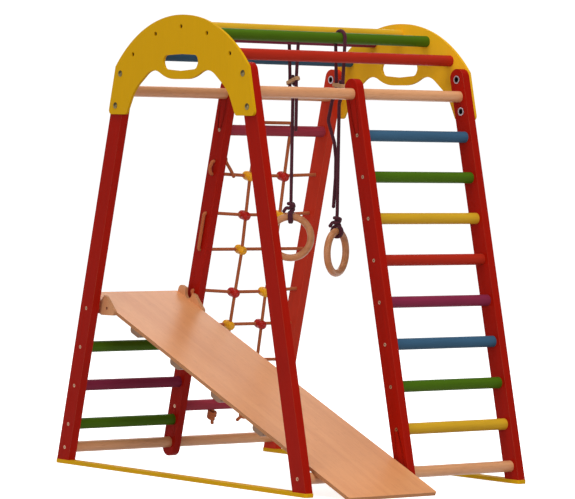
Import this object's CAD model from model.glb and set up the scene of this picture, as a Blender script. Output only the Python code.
"""The looks of the climbing frame: ropes, knots, clamps, materials, light and camera.

Lengths are in metres, in the frame of the CAD part. X runs along the climbing frame, -Y is its
front and +Z is up. Places come from the CAD nodes' own boxes wherever they can.
"""

import math

import bpy
import numpy as np
from mathutils import Matrix, Vector


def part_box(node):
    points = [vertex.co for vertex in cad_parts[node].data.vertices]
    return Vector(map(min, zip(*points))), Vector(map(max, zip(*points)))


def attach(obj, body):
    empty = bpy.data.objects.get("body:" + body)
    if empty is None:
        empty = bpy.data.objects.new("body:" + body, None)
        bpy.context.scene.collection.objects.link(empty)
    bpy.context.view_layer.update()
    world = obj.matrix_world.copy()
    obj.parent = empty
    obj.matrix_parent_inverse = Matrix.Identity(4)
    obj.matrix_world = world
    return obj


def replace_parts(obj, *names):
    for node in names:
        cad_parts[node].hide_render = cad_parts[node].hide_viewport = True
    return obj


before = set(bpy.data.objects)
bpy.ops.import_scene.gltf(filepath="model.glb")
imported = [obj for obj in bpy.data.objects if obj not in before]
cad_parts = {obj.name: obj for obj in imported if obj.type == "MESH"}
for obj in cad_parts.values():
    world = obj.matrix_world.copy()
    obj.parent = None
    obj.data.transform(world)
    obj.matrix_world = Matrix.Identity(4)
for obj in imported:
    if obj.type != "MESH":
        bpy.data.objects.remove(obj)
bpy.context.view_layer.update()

MM = 0.001
LEAN = math.radians(13.25)
SLIDE_TILT = math.radians(22.672)
NET_R = 5 * MM
CORD_R = 5 * MM
BAR_R = 16 * MM
GAP = 0.3 * MM                          # between a rope and what it turns round
ROPE_SIDES = 20
BRAID = 0.3 * MM                        # height of a rope's woven relief
NO_BEND = 0.03                          # radians; a corner that turns less than this stays as it is


def middle(node):
    """The centre of a CAD node's box."""
    low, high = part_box(node)
    return (low + high) / 2


# ---- paths ---------------------------------------------------------------------------------------

def bend(p, q, s, radius, steps=10):
    """Points of the round corner at q, between p and s."""
    u, v = (p - q).normalized(), (s - q).normalized()
    half = math.acos(max(-1.0, min(1.0, u.dot(v)))) / 2
    turn = math.pi - 2 * half
    if turn < NO_BEND:
        return [q]
    centre = q + (u + v).normalized() * radius / math.sin(half)
    a = q + u * radius / math.tan(half) - centre
    b = q + v * radius / math.tan(half) - centre
    return [centre + (a * math.sin(turn * (1 - i / steps)) + b * math.sin(turn * i / steps)) / math.sin(turn)
            for i in range(steps + 1)]


def route(points, radius):
    """An open route through points, with its corners rounded."""
    inner = [bend(points[i - 1], points[i], points[i + 1], radius) for i in range(1, len(points) - 1)]
    return [points[0], *(p for corner in inner for p in corner), points[-1]]


def distances(line):
    """How far along a line each of its points is."""
    return np.concatenate([[0], np.cumsum(np.linalg.norm(np.diff(line, axis=0), axis=1))])


def resampled(points, step):
    """The route again, with points an even step apart."""
    line = np.array([tuple(p) for p in points])
    along = distances(line)
    at = np.linspace(0, along[-1], max(2, round(along[-1] / step) + 1))
    return np.stack([np.interp(at, along, line[:, k]) for k in range(3)], axis=1)


def softened(line, times):
    """The line with its kinks eased; its ends stay where they are."""
    line = line.copy()
    for _ in range(times):
        line[1:-1] = (line[:-2] + 2 * line[1:-1] + line[2:]) / 4
    return line


# ---- ropes ---------------------------------------------------------------------------------------

def new_object(name, points, faces, body):
    """A smooth mesh object that rides on a body."""
    mesh = bpy.data.meshes.new(name)
    mesh.from_pydata([tuple(p) for p in points], [], faces)
    mesh.polygons.foreach_set("use_smooth", [True] * len(mesh.polygons))
    piece = bpy.data.objects.new(name, mesh)
    bpy.context.scene.collection.objects.link(piece)
    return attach(piece, body)


def tube_rings(line, along, radius, braid):
    """Rings of points round a line, that don't twist about it, with the braid's relief."""
    tangent = np.gradient(line, axis=0)
    tangent /= np.linalg.norm(tangent, axis=1)[:, None]
    side = np.cross(tangent[0], [0.31, 0.55, 0.77])
    side /= np.linalg.norm(side)
    sides_along = []
    for t in tangent:
        side = side - t * side.dot(t)
        side /= np.linalg.norm(side)
        sides_along.append(side)
    across = np.array(sides_along)
    other = np.cross(tangent, across)
    turn = np.linspace(0, 2 * math.pi, ROPE_SIDES, endpoint=False)
    cells = 6
    lead = along[:, None] / (2 * math.pi * radius[:, None]) * cells
    a = turn[None, :] / (2 * math.pi) * cells + lead
    b = turn[None, :] / (2 * math.pi) * cells - lead
    relief = np.abs(np.sin(math.pi * a) * np.sin(math.pi * b)) ** 0.7
    r = (radius[:, None] - braid * (0.5 - relief))[:, :, None]
    return line[:, None, :] + r * (np.cos(turn)[None, :, None] * across[:, None, :]
                                   + np.sin(turn)[None, :, None] * other[:, None, :])


def tube_walls(rings, sides):
    """The four-sided faces between rings of points, each ring joined to the next."""
    return [(i * sides + k, i * sides + (k + 1) % sides, (i + 1) * sides + (k + 1) % sides,
             (i + 1) * sides + k)
            for i in range(rings - 1) for k in range(sides)]


def rope(name, line, body, radius, sealed=(False, True)):
    """A braided rope along a line. A sealed end is melted: a little thicker, round and darker.

    The UV map "lay" says where each point is: turns round the rope and metres along it."""
    count, sides = len(line), ROPE_SIDES
    radii = np.full(count, radius)
    melt = np.zeros(count)
    along = distances(line)
    for is_sealed, off in ((sealed[0], along), (sealed[1], along[-1] - along)):
        if is_sealed:
            tip = np.clip(1 - off / (1.1 * radius), 0, 1)
            swell = 1 + 0.1 * np.clip(1 - off / (2 * radius), 0, 1)
            radii *= np.sqrt(np.clip(1 - tip ** 2, 0.02, 1)) * swell
            melt = np.maximum(melt, np.clip(1.2 - off / radius, 0, 1))
    rings = tube_rings(line, along, radii, BRAID * (1 - melt)[:, None])
    faces = tube_walls(count, sides)
    faces.append(tuple(reversed(range(sides))))
    faces.append(tuple((count - 1) * sides + k for k in range(sides)))
    piece = new_object(name, rings.reshape(-1, 3), faces, body)
    mesh = piece.data
    turns = [(k + d) / sides for k in range(sides) for d in (0, 1, 1, 0)]
    uv = np.zeros((len(mesh.loops), 2))
    walls = (count - 1) * sides * 4
    uv[:walls, 0] = np.tile(turns, count - 1)
    uv[:walls, 1] = np.stack([along[:-1], along[:-1], along[1:], along[1:]], axis=1).repeat(
        sides, axis=0).reshape(-1)
    layer = mesh.uv_layers.new(name="lay")
    layer.data.foreach_set("uv", uv.ravel())
    mesh.attributes.new("melt", "FLOAT", "POINT").data.foreach_set("value", melt.repeat(sides))
    return piece


def ring_rope(side, bar, way, tail):
    """A ring's rope: up from the knot, through the toggle, over the bar and back through the toggle.

    way is 1 or -1 for the side of the bar that it goes up on, and tail lists the free end's
    places as [x off the rope, y off the rope, z]."""
    ring = middle(f"{side}_ring")
    toggle = middle(f"{side}_rope_toggle").z
    bar_at = middle(bar)
    strand, over_r = 15 * MM, BAR_R + GAP + CORD_R

    def at(dx, dy, z):
        return Vector((ring.x + dx, bar_at.y + way * dy, z))

    over = [at(0, over_r * math.cos(a), bar_at.z + over_r * math.sin(a))
            for a in np.linspace(0, math.pi, 25)]
    up = [at(0, 0, ring.z + 113 * MM + GAP), at(0, 0, toggle - 52 * MM), at(0, strand, toggle - 18 * MM),
          at(0, strand, toggle + 15 * MM), over[0]]
    down = [over[-1], at(0, -strand, toggle + 15 * MM), at(0, -strand, toggle - 16 * MM),
            *(at(x * MM, y * MM, z * MM) for x, y, z in tail)]
    line = resampled([*route(up, 22 * MM), *over[1:-1], *route(down, 20 * MM)], 1.5 * MM)
    line = softened(line, 3)
    piece = rope(f"{side}_ring_rope_braid", line, f"{side}_rope", CORD_R)
    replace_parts(piece, f"{side}_ring_rope")
    return piece, line


# ---- camera --------------------------------------------------------------------------------------

def add_camera():
    """The camera as it was solved from the photograph's legs, bars, rails and arches."""
    azimuth, elevation, roll = (math.radians(d) for d in (-38.8615, 1.5524, 1.0006))
    target = Vector((-0.01399, 0.07534, 0.70034))
    distance = 10.1974
    back = Vector((math.sin(azimuth) * math.cos(elevation), -math.cos(azimuth) * math.cos(elevation),
                   math.sin(elevation)))
    right = (-back).cross(Vector((0, 0, 1))).normalized()
    up = right.cross(-back)
    x_axis = right * math.cos(roll) + up * math.sin(roll)
    y_axis = up * math.cos(roll) - right * math.sin(roll)
    data = bpy.data.cameras.new("photo_camera")
    data.sensor_width = 36
    data.lens = 222.785
    data.shift_x = 0.00668
    data.shift_y = -0.03603
    data.clip_end = 200
    camera = bpy.data.objects.new("photo_camera", data)
    bpy.context.scene.collection.objects.link(camera)
    turn = Matrix((x_axis, y_axis, back)).transposed().to_4x4()
    camera.matrix_world = Matrix.Translation(target + back * distance) @ turn
    bpy.context.scene.camera = camera


add_camera()

LEFT_TAIL = [(3, -13, 1082), (4, -12, 1040), (3, -13, 980)]
RIGHT_TAIL = [(-2, -30, 1066), (-4, -43, 1012), (-1, -17, 950), (0, -10.5, 905), (0, -10.5, 850),
              (1, -19, 762)]
ring_ropes = {side: ring_rope(side, bar, way, tail)
              for side, bar, way, tail in (("left", "top_bar_4", 1, LEFT_TAIL),
                                           ("right", "top_bar_2", -1, RIGHT_TAIL))}


# ---- knots ---------------------------------------------------------------------------------------

def wraps(radius, low, high, turns, start, tilt, steps=24):
    """Turns of rope round the Z axis, tilted so that they cross as in a knot."""
    places = []
    for i in range(round(turns * steps) + 1):
        t = i / (turns * steps)
        a = start + 2 * math.pi * turns * t
        places.append(Vector((radius * math.cos(a), radius * math.sin(a),
                              low + (high - low) * t + tilt * math.sin(a + 0.8))))
    return places


def ring_knot(side, turn_deg, tail_deg):
    """The knot above a ring: the rope turns twice round the ring, wraps its own standing part and
    ends in a short tail, which leaves the knot at tail_deg about the rope."""
    loop_r, bar_z = 15.8 * MM, 59.7 * MM
    standing = [Vector(p) * MM for p in ((0, 0, 114), (0, 0.5, 100), (2, 3, 84))]
    loop = [Vector((MM * (4.5 - 9 * t), loop_r * math.cos(a), bar_z + loop_r * math.sin(a)))
            for t, a in zip(np.linspace(0, 1, 45), np.radians(np.linspace(66, -600, 45)))]
    inner = wraps(8.2 * MM, 76 * MM, 101 * MM, 1.85, math.radians(-95), 3.0 * MM)
    outer = wraps(9.6 * MM, 98 * MM, 84 * MM, 0.7, math.radians(225), 0)
    out = Matrix.Rotation(math.radians(tail_deg), 3, "Z")
    tail = [out @ Vector(p) * MM for p in ((13, 2, 86), (17, 2, 81), (23, 1, 71))]
    line = softened(resampled([*standing, *loop, *inner, *outer, *tail], 1.2 * MM), 10)
    turn = Matrix.Rotation(math.radians(turn_deg), 3, "Z")
    place = np.array(middle(f"{side}_ring"))
    piece = rope(f"{side}_knot_braid", line @ np.array(turn).T + place, f"{side}_ring", CORD_R)
    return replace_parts(piece, f"{side}_ring_knot")


def toggle_tuck(side, tilt_deg):
    """The bit of rope tucked between the two strands, over the back of the toggle and under it."""
    points = [(-7, -12, 9.6), (-1, -2, 11.2), (8, 6, 10.4), (14.2, 9, 3), (13.6, 8, -6), (7, 4, -10.6),
              (-4, -3, -10.8)]
    line = softened(resampled([Vector(p) * MM for p in points], 1.2 * MM), 12)
    turn = Matrix.Rotation(math.radians(tilt_deg), 3, "X")
    line = line @ np.array(turn).T + np.array(middle(f"{side}_rope_toggle"))
    return rope(f"{side}_toggle_tuck", line, f"{side}_rope", CORD_R, sealed=(True, True))


knots = {side: ring_knot(side, turn, tail) for side, turn, tail in (("left", -39, 175), ("right", 24, 130))}
toggle_tucks = {side: toggle_tuck(side, tilt) for side, tilt in (("left", -19), ("right", 6))}


# ---- net -----------------------------------------------------------------------------------------
# Places in the net's plane are [x, height along Z], and off is a distance off the plane to the back.

FRAME_Y = middle("left_floor_rail").y
NET_ROW_Z = [0.851, 0.735, 0.627, 0.505, 0.400, 0.288]
NET_KNOT_Z = [0.845, 0.728, 0.625, 0.496, 0.398, 0.288]
NET_LEFT_X = [0.120, 0.128, 0.135, 0.135, 0.136, 0.140]
NET_RIGHT_X = [0.250, 0.257, 0.261, 0.252, 0.257, 0.262]
NET_HOLES_X = [0.129, 0.251]
NET_BAR_Z = [0.1565, 0.9805]
CROSS = 7 * MM                          # from a clamp's middle to each of its two ropes
START_Z = 0.888                         # the hole where the row rope starts
POST_X = -18 * MM                       # the middle post's left face
LEG_T = 25 * MM
SPAN = 0.797                            # over the legs
FOOT_Y = 0.550                          # the back legs' line on the floor, behind the middle


def net_at(x, z, off=0.0):
    """A place in the net's plane, or off it."""
    y = FRAME_Y + FOOT_Y - z * math.tan(LEAN)
    return Vector((x, y + off * math.cos(LEAN), z + off * math.sin(LEAN)))


def on_net(x, z):
    """A frame whose Z runs up the net and whose Y points out of its back."""
    return Matrix.Translation(net_at(x, z)) @ Matrix.Rotation(LEAN, 4, "X")


def upright_rope():
    """The rope that runs up, across the upper bar and down again, with a knot at each end."""
    low, high = NET_BAR_Z[0] - BAR_R - 4 * MM, NET_BAR_Z[1] + BAR_R + NET_R + 3 * MM
    clear = BAR_R + 12 * MM
    corners = [net_at(NET_HOLES_X[0], low), net_at(NET_HOLES_X[0], NET_BAR_Z[0] + clear),
               *(net_at(x, z, -CROSS) for x, z in zip(NET_LEFT_X[::-1], NET_KNOT_Z[::-1])),
               net_at(NET_HOLES_X[0], NET_BAR_Z[1] - clear), net_at(NET_HOLES_X[0], high),
               net_at(NET_HOLES_X[1], high), net_at(NET_HOLES_X[1], NET_BAR_Z[1] - clear),
               *(net_at(x, z, -CROSS) for x, z in zip(NET_RIGHT_X, NET_KNOT_Z)),
               net_at(NET_HOLES_X[1], NET_BAR_Z[0] + clear), net_at(NET_HOLES_X[1], low)]
    line = resampled(route(corners, 9 * MM), 1.6 * MM)
    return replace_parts(rope("net_upright_braid", line, "frame", NET_R, sealed=(False, False)),
                       "net_upright_rope")


def row_rope():
    """The rope of the rows, from its knotted start to its last turn on the post."""
    entry, end = POST_X + LEG_T + 8 * MM, SPAN / 2 - LEG_T - 8 * MM
    post_side, leg_side = POST_X - NET_R - GAP, SPAN / 2 + NET_R + GAP
    rung_z = middle("slide_rung").z
    swing, bulge = 22 * MM, 7 * MM

    def row(i):
        return [net_at(entry, NET_ROW_Z[i]), net_at(NET_LEFT_X[i], NET_KNOT_Z[i], CROSS),
                net_at(NET_RIGHT_X[i], NET_KNOT_Z[i], CROSS), net_at(end, NET_ROW_Z[i])]

    def on_post(z, out=0.0):
        return net_at(post_side, z, -out)

    def on_leg(i):
        return net_at(leg_side, NET_ROW_Z[i])

    corners = [net_at(entry + 1 * MM, START_Z), on_post(START_Z),
               net_at(post_side - bulge, (START_Z + NET_ROW_Z[0]) / 2), on_post(NET_ROW_Z[0])]
    for i in (0, 2, 4):
        corners += [*row(i), on_leg(i), on_leg(i + 1), *row(i + 1)[::-1], on_post(NET_ROW_Z[i + 1])]
        if i == 2:
            corners += [on_post(rung_z + 22 * MM, swing), on_post(rung_z - 26 * MM, swing)]
        if i < 4:
            corners.append(on_post(NET_ROW_Z[i + 2]))
    line = softened(resampled(route(corners, NET_R + GAP), 1.6 * MM), 2)
    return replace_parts(rope("net_row_braid", line, "frame", NET_R, sealed=(False, True)), "net_row_rope")


def start_knot():
    """The knot that stops the row rope on the post's inner face, and its tail down to the first row."""
    face = POST_X + LEG_T + 8 * MM
    centre = net_at(face, START_Z + 5 * MM)
    knot = [Vector((x, -z, y)) + centre
            for x, y, z in wraps(8 * MM, 4 * MM, -4 * MM, 1.6, math.radians(180), 3 * MM)]
    tail = [net_at(0.024, 0.884, -9 * MM), net_at(0.040, 0.866, -11 * MM), net_at(0.058, 0.843, -11.5 * MM)]
    line = softened(resampled([centre, *knot, *tail], 1.2 * MM), 6)
    return rope("net_start_knot", line, "frame", NET_R)


def net_end_knot(name, x, tail):
    """The knot under the lower net bar that stops an upright rope, and its short tail."""
    turns = wraps(10 * MM, -5 * MM, -24 * MM, 2.6, math.radians(70), 3.6 * MM)
    inside = [Vector((0, 0, 4 * MM)), Vector((1 * MM, 2 * MM, 0))]
    line = [*inside, *turns, *(Vector(p) * MM for p in tail)]
    line = softened(resampled(line, 1.2 * MM), 8)
    place = on_net(x, NET_BAR_Z[0] - BAR_R)
    line = np.array([tuple(place @ Vector(p)) for p in line])
    return rope(name, line, "frame", NET_R)


net_ropes = [upright_rope(), row_rope(), start_knot(),
             net_end_knot("net_left_knot", NET_HOLES_X[0], [(2, -3, -33), (4, -4, -46)]),
             net_end_knot("net_right_knot", NET_HOLES_X[1], [(-10, -2, -25), (-28, -4, -38)])]


# The front half of a clamp's section, from the middle of its front face: radius, depth.
CLAMP = [(0.01, -21.2), (3.0, -21.2), (3.6, -21.8), (6.0, -21.6), (9.2, -19.9), (11.8, -16.8), (13.4, -13.0),
         (14.1, -9.0), (14.2, -5.0), (13.8, -1.6), (13.2, -0.7), (12.6, -0.4)]
CLAMP_SIDES = 40


def clamp_shape():
    """One clamp: two domed shells, one behind the other, with a groove where they meet."""
    section = [*CLAMP, *((radius, -depth) for radius, depth in CLAMP[::-1])]
    angles = [2 * math.pi * k / CLAMP_SIDES for k in range(CLAMP_SIDES)]
    points = [Vector((radius * math.cos(a), depth, radius * math.sin(a))) * MM
              for radius, depth in section for a in angles]
    return points, tube_walls(len(section), CLAMP_SIDES)


def clamps(name, node, places):
    """The clamps of one colour, at their places in the net, in the CAD node's stead."""
    points, faces = clamp_shape()
    all_points, all_faces = [], []
    for x, z in places:
        place = on_net(x, z)
        start = len(all_points)
        all_points += [tuple(place @ p) for p in points]
        all_faces += [[start + i for i in face] for face in faces]
    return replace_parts(new_object(name, all_points, all_faces, "frame"), node)


crossings = [((NET_LEFT_X[i], NET_KNOT_Z[i]), (NET_RIGHT_X[i], NET_KNOT_Z[i])) for i in range(6)]
yellow_clamps = clamps("net_yellow_clamps", "net_yellow_connectors",
                       [pair[i % 2] for i, pair in enumerate(crossings)])
red_clamps = clamps("net_red_clamps", "net_red_connectors",
                    [pair[1 - i % 2] for i, pair in enumerate(crossings)])


# ---- materials -----------------------------------------------------------------------------------

class Finish:
    """One material's node tree, with short names for adding and joining nodes."""

    def __init__(self, name):
        self.material = bpy.data.materials.new(name)
        self.material.use_nodes = True
        self.tree = self.material.node_tree
        self.shader = self.tree.nodes["Principled BSDF"]

    def add(self, kind, values=(), **settings):
        node = self.tree.nodes.new(kind)
        for key, value in settings.items():
            setattr(node, key, value)
        for key, value in dict(values).items():
            node.inputs[key].default_value = value
        return node

    def join(self, output, target):
        self.tree.links.new(output, target)

    def set(self, **values):
        for key, value in values.items():
            self.shader.inputs[key.replace("_", " ")].default_value = value

    def grain_space(self, turn, stretch):
        """Object coordinates turned by Euler angles, then squeezed, so that grain runs along X."""
        coords = self.add("ShaderNodeTexCoord").outputs["Object"]
        turned = self.add("ShaderNodeMapping", {"Rotation": turn})
        self.join(coords, turned.inputs["Vector"])
        scaled = self.add("ShaderNodeMapping", {"Scale": stretch})
        self.join(turned.outputs["Vector"], scaled.inputs["Vector"])
        return turned.outputs["Vector"], scaled.outputs["Vector"]

    def noise(self, coords, scale, detail=3.0, rough=0.55, distort=0.0):
        node = self.add("ShaderNodeTexNoise", {"Scale": scale, "Detail": detail, "Roughness": rough,
                                               "Distortion": distort})
        self.join(coords, node.inputs["Vector"])
        return node.outputs["Fac"]

    def span(self, value, low, high, to_low=0.0, to_high=1.0):
        node = self.add("ShaderNodeMapRange", {"From Min": low, "From Max": high, "To Min": to_low,
                                               "To Max": to_high})
        self.join(value, node.inputs["Value"])
        return node.outputs["Result"]

    def math(self, operation, a, b):
        node = self.add("ShaderNodeMath", operation=operation)
        for value, socket in ((a, node.inputs[0]), (b, node.inputs[1])):
            if isinstance(value, (int, float)):
                socket.default_value = value
            else:
                self.join(value, socket)
        return node.outputs["Value"]

    def mix(self, amount, a, b):
        node = self.add("ShaderNodeMix", data_type="RGBA")
        sockets = (node.inputs[key] for key in ("Factor", "A", "B"))
        for value, socket in zip((amount, a, b), sockets):
            if hasattr(value, "is_linked"):
                self.join(value, socket)
            else:
                socket.default_value = value
        return node.outputs["Result"]

    def edges(self, radius, low, high):
        """1 on convex and concave edges, 0 on open faces."""
        rounded = self.add("ShaderNodeBevel", {"Radius": radius}, samples=4)
        flat = self.add("ShaderNodeNewGeometry")
        dot = self.add("ShaderNodeVectorMath", operation="DOT_PRODUCT")
        self.join(rounded.outputs["Normal"], dot.inputs[0])
        self.join(flat.outputs["Normal"], dot.inputs[1])
        return self.span(dot.outputs["Value"], high, low)

    def bump(self, *layers):
        """Bumps from (height, strength, depth) layers, one on the other."""
        normal = None
        for height, strength, depth in layers:
            node = self.add("ShaderNodeBump", {"Strength": strength, "Distance": depth})
            self.join(height, node.inputs["Height"])
            if normal is not None:
                self.join(normal, node.inputs["Normal"])
            normal = node.outputs["Normal"]
        self.join(normal, self.shader.inputs["Normal"])


def linear(r, g, b):
    """A colour given as 8-bit sRGB, for a shader socket."""
    levels = ((c / 255 / 12.92 if c <= 10 else ((c / 255 + 0.055) / 1.055) ** 2.4) for c in (r, g, b))
    return tuple(levels) + (1,)


def shade(colour, factor):
    """The colour made darker or lighter."""
    return tuple(c * factor for c in colour[:3]) + (1,)


def painted(name, colour, turn, wear=0.5, rough=0.46):
    """Satin paint over wood: faint grain, soft brush streaks and thinner paint on the edges."""
    f = Finish(name)
    plain, along = f.grain_space(turn, (0.05, 1, 1))
    streaks = f.noise(along, 260, 4, 0.6)
    broad = f.noise(along, 55, 2)
    blotches = f.noise(plain, 7, 2)
    worn = f.edges(1.6 * MM, 0.80, 0.985)
    tone = f.mix(f.span(streaks, 0.3, 0.7), shade(colour, 0.90), shade(colour, 1.06))
    tone = f.mix(f.span(broad, 0.35, 0.65, 0, 0.45), tone, shade(colour, 0.84))
    tone = f.mix(f.span(blotches, 0.35, 0.7, 0, 0.35), tone, shade(colour, 1.14))
    pale = tuple(c + (p - c) * 0.35 for c, p in zip(colour[:3], linear(235, 190, 140)[:3])) + (1,)
    tone = f.mix(f.math("MULTIPLY", worn, f.span(broad, 0.3, 0.6, 0.1 * wear, wear)), tone, pale)
    f.join(tone, f.shader.inputs["Base Color"])
    f.join(f.span(streaks, 0.2, 0.8, rough - 0.06, rough + 0.1), f.shader.inputs["Roughness"])
    f.bump((streaks, 0.25, 0.25 * MM), (broad, 0.3, 0.6 * MM))
    f.set(Specular_IOR_Level=0.05)
    return f.material


def bare_wood(name, colour, dark, turn, rough=0.34, coat=0.12, ring_scale=32.0):
    """Clear lacquered wood: growth rings, fine dark pores and a satin lacquer."""
    f = Finish(name)
    _, along = f.grain_space(turn, (0.06, 1, 1))
    wander = f.noise(along, 14, 3, 0.5, 0.4)
    rings = f.noise(along, ring_scale, 5, 0.65, 0.8)
    fine = f.noise(along, 420, 3, 0.7)
    pores = f.span(f.noise(along, 700, 1, 0.4), 0.60, 0.72)
    tone = f.mix(f.span(rings, 0.35, 0.68), colour, dark)
    tone = f.mix(f.span(wander, 0.3, 0.7, 0, 0.4), tone, shade(colour, 1.12))
    tone = f.mix(f.span(fine, 0.35, 0.65, 0, 0.25), tone, shade(dark, 0.85))
    tone = f.mix(f.math("MULTIPLY", pores, 0.35), tone, shade(dark, 0.55))
    f.join(tone, f.shader.inputs["Base Color"])
    f.join(f.span(rings, 0.3, 0.7, rough - 0.05, rough + 0.07), f.shader.inputs["Roughness"])
    f.bump((fine, 0.2, 0.12 * MM), (rings, 0.15, 0.3 * MM), (pores, -0.3, 0.1 * MM))
    f.set(Specular_IOR_Level=0.35, Coat_Weight=coat, Coat_Roughness=0.22)
    return f.material


def plywood(name, colour, dark, turn, layer, rough=0.34, coat=0.15, paint=None):
    """Plywood: a face like bare wood or paint, and edges that show the layers. After the turn the
    grain runs along X and the sheet's thickness along Z; layer is one layer's thickness."""
    f = Finish(name)
    plain, along = f.grain_space(turn, (0.05, 1, 1))
    wander = f.noise(along, 9, 3, 0.5, 0.3)
    rings = f.noise(along, 26, 4, 0.6, 0.5)
    fine = f.noise(along, 380, 3, 0.7)
    pores = f.span(f.noise(along, 650, 1, 0.4), 0.60, 0.74)
    if paint is None:
        face = f.mix(f.span(rings, 0.35, 0.7, 0, 0.7), colour, dark)
        face = f.mix(f.span(wander, 0.3, 0.7, 0, 0.5), face, shade(colour, 1.10))
        face = f.mix(f.span(fine, 0.35, 0.65, 0, 0.22), face, shade(dark, 0.9))
        face = f.mix(f.math("MULTIPLY", pores, 0.30), face, shade(dark, 0.6))
    else:
        face = f.mix(f.span(fine, 0.3, 0.7), shade(paint, 0.97), shade(paint, 1.03))
        face = f.mix(f.span(wander, 0.3, 0.7, 0, 0.4), face, shade(paint, 0.9))
    depth = f.add("ShaderNodeSeparateXYZ")
    f.join(plain, depth.inputs["Vector"])
    wobble = f.math("MULTIPLY", f.noise(plain, 60, 2), 0.35)
    phase = f.math("ADD", f.math("DIVIDE", depth.outputs["Z"], 2 * layer), wobble)
    stripe = f.math("PINGPONG", phase, 0.5)
    band = f.span(stripe, 0.2, 0.3)
    edge_light = paint or shade(colour, 0.95)
    edge_dark = shade(paint, 0.82) if paint else shade(dark, 0.62)
    edge = f.mix(band, edge_light, edge_dark)
    speck = f.span(f.noise(plain, 900, 2, 0.6), 0.45, 0.62, 0, 0.35)
    edge = f.mix(speck, edge, shade(edge_dark, 0.8))
    normal = f.add("ShaderNodeTexCoord").outputs["Normal"]
    turned = f.add("ShaderNodeVectorRotate", {"Rotation": turn}, rotation_type="EULER_XYZ")
    f.join(normal, turned.inputs["Vector"])
    facing = f.add("ShaderNodeSeparateXYZ")
    f.join(turned.outputs["Vector"], facing.inputs["Vector"])
    is_face = f.span(f.math("ABSOLUTE", facing.outputs["Z"], 0), 0.72, 0.82)
    tone = f.mix(is_face, edge, face)
    f.join(tone, f.shader.inputs["Base Color"])
    f.join(f.span(is_face, 0, 1, rough + 0.25, rough), f.shader.inputs["Roughness"])
    f.bump((fine, 0.16, 0.12 * MM), (band, 0.12, 0.15 * MM))
    f.set(Specular_IOR_Level=0.05 if paint else 0.18, Coat_Weight=coat, Coat_Roughness=0.2)
    return f.material


def braided(name, colour, lit):
    """Rope of woven yarn: yarn direction, fuzz, and melted ends."""
    f = Finish(name)
    lay = f.add("ShaderNodeUVMap", uv_map="lay").outputs["UV"]
    split = f.add("ShaderNodeSeparateXYZ")
    f.join(lay, split.inputs["Vector"])
    around = f.math("MULTIPLY", split.outputs["X"], 6 * math.pi)
    along = f.math("MULTIPLY", split.outputs["Y"], 3 / NET_R)
    a = f.math("ABSOLUTE", f.math("SINE", f.math("ADD", around, along), 0), 0)
    b = f.math("ABSOLUTE", f.math("SINE", f.math("SUBTRACT", around, along), 0), 0)
    weave = f.math("MULTIPLY", a, b)
    coords = f.add("ShaderNodeTexCoord").outputs["Object"]
    fuzz = f.noise(coords, 1800, 3, 0.7)
    broad = f.noise(coords, 60, 2)
    tone = f.mix(f.span(weave, 0.05, 0.6), shade(colour, 0.5), colour)
    tone = f.mix(f.span(fuzz, 0.4, 0.75, 0, 0.5), tone, lit)
    tone = f.mix(f.span(broad, 0.35, 0.7, 0, 0.3), tone, shade(colour, 0.75))
    melt = f.add("ShaderNodeAttribute", attribute_name="melt").outputs["Fac"]
    tone = f.mix(melt, tone, shade(colour, 0.6))
    f.join(tone, f.shader.inputs["Base Color"])
    f.join(f.span(melt, 0, 1, 0.86, 0.4), f.shader.inputs["Roughness"])
    f.bump((weave, 0.6, 0.35 * MM), (fuzz, 0.5, 0.15 * MM))
    f.set(Specular_IOR_Level=0.2, Sheen_Weight=0.12, Sheen_Roughness=0.5)
    return f.material


def moulded(name, colour):
    """Glossy moulded plastic with faint flow marks and scuffs."""
    f = Finish(name)
    coords = f.add("ShaderNodeTexCoord").outputs["Object"]
    flow = f.noise(coords, 90, 2, 0.5, 1.0)
    scuff = f.span(f.noise(coords, 900, 3, 0.7), 0.5, 0.75)
    tone = f.mix(f.span(flow, 0.3, 0.7), shade(colour, 0.85), shade(colour, 1.08))
    f.join(tone, f.shader.inputs["Base Color"])
    f.join(f.span(scuff, 0, 1, 0.30, 0.45), f.shader.inputs["Roughness"])
    f.bump((flow, 0.10, 0.2 * MM), (scuff, 0.05, 0.03 * MM))
    f.set(Specular_IOR_Level=0.2)
    return f.material


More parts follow.
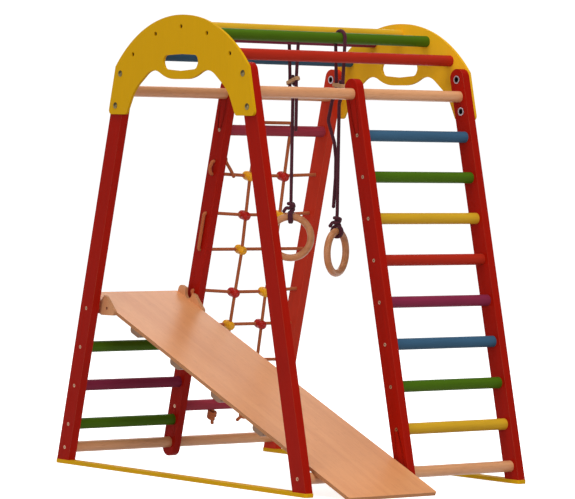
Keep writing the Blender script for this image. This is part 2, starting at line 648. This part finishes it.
def zinc(name, bright, dulled, recess=(0.04, 0.03, 0.03, 1), deep=0.0, mouth=0.0):
    """Zinc plated steel: a fine satin grain and slightly dulled patches. Recesses look dark: faces that
    don't look along X, all that is nearer than deep to the middle of the frame, all that is nearer
    than mouth to its own axis, and all that its neighbours shade."""
    f = Finish(name)
    coords = f.add("ShaderNodeTexCoord").outputs["Object"]
    grain = f.noise(coords, 1500, 3, 0.6)
    dull = f.noise(coords, 180, 3, 0.6)
    tone = f.mix(f.span(dull, 0.35, 0.7), bright, dulled)
    place, normal = f.add("ShaderNodeSeparateXYZ"), f.add("ShaderNodeSeparateXYZ")
    f.join(coords, place.inputs["Vector"])
    f.join(f.add("ShaderNodeNewGeometry").outputs["Normal"], normal.inputs["Vector"])
    outer = f.span(f.math("ABSOLUTE", place.outputs["X"], 0), deep, deep + 1 * MM)
    facing = f.span(f.math("ABSOLUTE", normal.outputs["X"], 0), 0.1, 0.5)
    shaded = f.add("ShaderNodeAmbientOcclusion", {"Distance": 4 * MM}, samples=8)
    open_air = f.span(shaded.outputs["AO"], 0.7, 0.95)
    outer = f.math("MULTIPLY", outer, f.math("MULTIPLY", facing, open_air))
    if mouth:
        off_axis = f.add("ShaderNodeAttribute", attribute_name="off_axis").outputs["Fac"]
        outer = f.math("MULTIPLY", outer, f.span(off_axis, mouth, mouth + 0.6 * MM))
    f.join(f.mix(outer, recess, tone), f.shader.inputs["Base Color"])
    f.join(f.span(dull, 0.3, 0.7, 0.26, 0.48), f.shader.inputs["Roughness"])
    f.bump((grain, 0.15, 0.05 * MM))
    f.set(Metallic=1.0)
    return f.material


# Turns that bring each piece's grain to X.
ALONG_X = (0, 0, 0)
UP = (0, math.pi / 2, 0)
FRONT_LEG = (LEAN, math.pi / 2, 0)
BACK_LEG = (-LEAN, math.pi / 2, 0)
ALONG_Y = (0, 0, math.pi / 2)

RED = linear(166, 20, 4)
YELLOW = linear(224, 168, 4)
BEECH = linear(228, 166, 118)
BEECH_DARK = linear(206, 138, 90)

finishes = {
    "red_front": painted("red_paint_front", RED, FRONT_LEG),
    "red_back": painted("red_paint_back", RED, BACK_LEG),
    "red_lit": painted("red_paint_lit", linear(206, 54, 30), BACK_LEG),
    "yellow_rail": painted("yellow_paint_rail", YELLOW, ALONG_Y),
    "red_bar": painted("red_bar_paint", linear(176, 42, 24), ALONG_X, 0.2),
    "green_bar": painted("green_bar_paint", linear(72, 106, 16), ALONG_X, 0.2),
    "yellow_bar": painted("yellow_bar_paint", linear(214, 166, 40), ALONG_X, 0.2),
    "purple_bar": painted("purple_bar_paint", linear(134, 42, 70), ALONG_X, 0.2),
    "net_bar": painted("net_bar_paint", linear(166, 58, 74), ALONG_X, 0.2),
    "blue_bar": painted("blue_bar_paint", linear(60, 96, 124), ALONG_X, 0.2),
    "beech_bar": bare_wood("beech_bar_lacquer", BEECH, BEECH_DARK, ALONG_X),
    "left_arch": plywood("left_arch_paint", BEECH, BEECH_DARK, UP, 1.3 * MM, 0.4, 0.0, YELLOW),
    "right_arch": plywood("right_arch_paint", BEECH, BEECH_DARK, UP, 1.3 * MM, 0.4, 0.0,
                          linear(250, 188, 34)),
    "slide": plywood("slide_lacquer", linear(226, 158, 106), linear(208, 134, 84),
                     (-SLIDE_TILT, 0, math.pi / 2), 1.1 * MM, 0.38, 0.05),
    "hooks": plywood("hook_lacquer", BEECH, BEECH_DARK, UP, 1.1 * MM, 0.38, 0.05),
    "battens": bare_wood("batten_lacquer", linear(150, 108, 76), linear(120, 84, 56), ALONG_X),
    "toggle": bare_wood("toggle_wood_sanded", linear(214, 170, 122), linear(180, 130, 86), ALONG_Y,
                        0.5, 0.0, 60),
    "ring": bare_wood("ring_wood_lacquer", linear(208, 142, 92), linear(172, 106, 62), ALONG_X, 0.36, 0.08),
    "net_rope": braided("net_rope_yarn", linear(200, 98, 50), linear(240, 160, 104)),
    "ring_cord": braided("ring_cord_yarn", linear(74, 22, 38), linear(132, 62, 82)),
    "red_plastic": moulded("red_clamp_plastic", linear(188, 24, 12)),
    "yellow_plastic": moulded("yellow_clamp_plastic", linear(250, 176, 24)),
    "zinc": zinc("zinc_plate", (0.52, 0.30, 0.20, 1), (0.36, 0.18, 0.11, 1), (0.16, 0.02, 0.01, 1)),
    "bolt_zinc": zinc("bolt_zinc_plate", (0.17, 0.13, 0.06, 1), (0.09, 0.07, 0.03, 1), deep=0.386),
    "nut_zinc": zinc("nut_zinc_plate", (0.70, 0.60, 0.64, 1), (0.50, 0.40, 0.44, 1), mouth=8.2 * MM),
    "yellow_zinc": zinc("yellow_zinc_plate", (0.15, 0.05, 0.008, 1), (0.09, 0.03, 0.005, 1)),
}


def dress(piece, finish):
    """Gives a piece its finish and its material slot in the record."""
    piece.data.materials.clear()
    piece.data.materials.append(finishes[finish])


def ease_edges(piece, width):
    """Rounds a CAD node's edges with modifiers, and leaves its own vertices alone."""
    piece.data.polygons.foreach_set("use_smooth", [True] * len(piece.data.polygons))
    if piece.data.has_custom_normals:
        with bpy.context.temp_override(object=piece, active_object=piece, selected_objects=[piece]):
            bpy.ops.mesh.customdata_custom_splitnormals_clear()
    weld = piece.modifiers.new("weld", "WELD")
    weld.merge_threshold = 0.01 * MM
    bevel = piece.modifiers.new("bevel", "BEVEL")
    bevel.limit_method = "ANGLE"
    bevel.angle_limit = math.radians(32)
    bevel.width = width
    bevel.segments = 3
    even = piece.modifiers.new("even", "WEIGHTED_NORMAL")
    even.keep_sharp = False
    even.weight = 80


def mark_off_axis(piece, reach=15 * MM):
    """Notes each vertex's distance from the axis, along X, of the loose part that it belongs to.

    No vertex is further than reach from its own part's axis, and the parts are far apart."""
    points = np.empty(3 * len(piece.data.vertices))
    piece.data.vertices.foreach_get("co", points)
    points = points.reshape(-1, 3)[:, 1:]
    centres = []
    for p in points:
        if not any(np.linalg.norm(p - c) < reach for c in centres):
            near = points[np.linalg.norm(points - p, axis=1) < 2 * reach]
            centres.append((near.min(axis=0) + near.max(axis=0)) / 2)
    off = np.linalg.norm(points[:, None] - np.array(centres)[None], axis=2).min(axis=1)
    piece.data.attributes.new("off_axis", "FLOAT", "POINT").data.foreach_set("value", off)


# The finish and the edge rounding of a CAD node, by its name or by the record's material slot.
LOOKS = {
    "left_arch_panel": ("left_arch", 1.0 * MM), "right_arch_panel": ("right_arch", 1.0 * MM),
    "slide_battens": ("battens", 1.0 * MM), "top_bar_screws": ("yellow_zinc", 0.2 * MM),
    "net_low_bar": ("net_bar", 0.8 * MM), "net_high_bar": ("net_bar", 0.8 * MM),
    "arch_bolts": ("bolt_zinc", 0.2 * MM), "arch_nuts": ("nut_zinc", 0.3 * MM),
    "left_front_leg": ("red_front", 1.4 * MM), "right_front_leg": ("red_front", 1.4 * MM),
    "front_middle_post": ("red_front", 1.4 * MM), "left_back_leg": ("red_back", 1.4 * MM),
    "right_back_leg": ("red_lit", 1.4 * MM), "back_middle_post": ("red_back", 1.4 * MM),
    "yellow_paint": ("yellow_rail", 1.5 * MM), "red_bar": ("red_bar", 0.8 * MM),
    "green_bar": ("green_bar", 0.8 * MM), "yellow_bar": ("yellow_bar", 0.8 * MM),
    "purple_bar": ("purple_bar", 0.8 * MM), "blue_bar": ("blue_bar", 0.8 * MM),
    "beech_bar": ("beech_bar", 0.8 * MM), "zinc_steel": ("zinc", 0.2 * MM),
    "slide_ply": ("slide", 0.8 * MM), "beech_ply": ("hooks", 1.2 * MM), "toggle_wood": ("toggle", 2.0 * MM),
    "ring_wood": ("ring", 0.5 * MM),
}
for name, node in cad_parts.items():
    if node.hide_render:
        continue
    slot = node.data.materials[0].name.split(".")[0]
    finish, width = LOOKS[name if name in LOOKS else slot]
    dress(node, finish)
    ease_edges(node, width)
    if name == "arch_nuts":
        mark_off_axis(node)

for piece in net_ropes:
    dress(piece, "net_rope")
for piece in [*(piece for piece, _ in ring_ropes.values()), *knots.values(), *toggle_tucks.values()]:
    dress(piece, "ring_cord")
dress(red_clamps, "red_plastic")
dress(yellow_clamps, "yellow_plastic")


# ---- floor, sky and light ------------------------------------------------------------------------

FLOOR_GLOW = 0.78
SKY_GLOW = 1.05
ALL_ROUND_LIGHT = 0.34
# Each light's name, its place, what it shines on, its width and its power.
LIGHTS = [
    ("overhead", (-1.2, -0.4, 6.6), (0, 0, 0.5), 6.0, 230),
    ("front", (-1.6, -5.4, 2.4), (0, 0, 0.6), 3.2, 115),
    ("left", (-5.6, -1.2, 1.8), (0, 0, 0.7), 3.0, 60),
    ("back", (3.0, 4.0, 3.5), (0, 0, 0.7), 3.0, 50),
]


def add_stage():
    """A pale floor and a white sky that only the camera sees, so that it doesn't light the object."""
    bpy.ops.mesh.primitive_plane_add(size=120, location=(0, 0, 0))
    floor = bpy.context.object
    floor.name = "studio_floor"
    f = Finish("floor_white")
    f.set(Base_Color=(0.9, 0.9, 0.9, 1), Roughness=0.9, Specular_IOR_Level=0.1,
          Emission_Color=(1, 1, 1, 1), Emission_Strength=FLOOR_GLOW)
    floor.data.materials.append(f.material)
    floor.visible_diffuse = False
    bpy.ops.mesh.primitive_uv_sphere_add(radius=58, segments=48, ring_count=24)
    sky = bpy.context.object
    sky.name = "studio_sky"
    s = Finish("sky_white")
    s.set(Base_Color=(0, 0, 0, 1), Specular_IOR_Level=0.0, Emission_Color=(1, 1, 1, 1),
          Emission_Strength=SKY_GLOW)
    sky.data.materials.append(s.material)
    for ray in ("diffuse", "glossy", "transmission", "volume_scatter", "shadow"):
        setattr(sky, f"visible_{ray}", False)


def add_light(name, place, aim, size, power):
    """A round soft light at a place, turned to shine on aim."""
    data = bpy.data.lights.new(name, "AREA")
    data.shape = "DISK"
    data.size = size
    data.energy = power
    light = bpy.data.objects.new(name, data)
    bpy.context.scene.collection.objects.link(light)
    light.location = place
    light.rotation_euler = (Vector(place) - Vector(aim)).to_track_quat("Z", "Y").to_euler()


add_stage()
world = bpy.data.worlds.new("studio")
world.use_nodes = True
background = world.node_tree.nodes["Background"]
background.inputs["Color"].default_value = (1, 1, 1, 1)
background.inputs["Strength"].default_value = ALL_ROUND_LIGHT
bpy.context.scene.world = world
for light in LIGHTS:
    add_light(*light)
bpy.context.scene.view_settings.view_transform = "Standard"
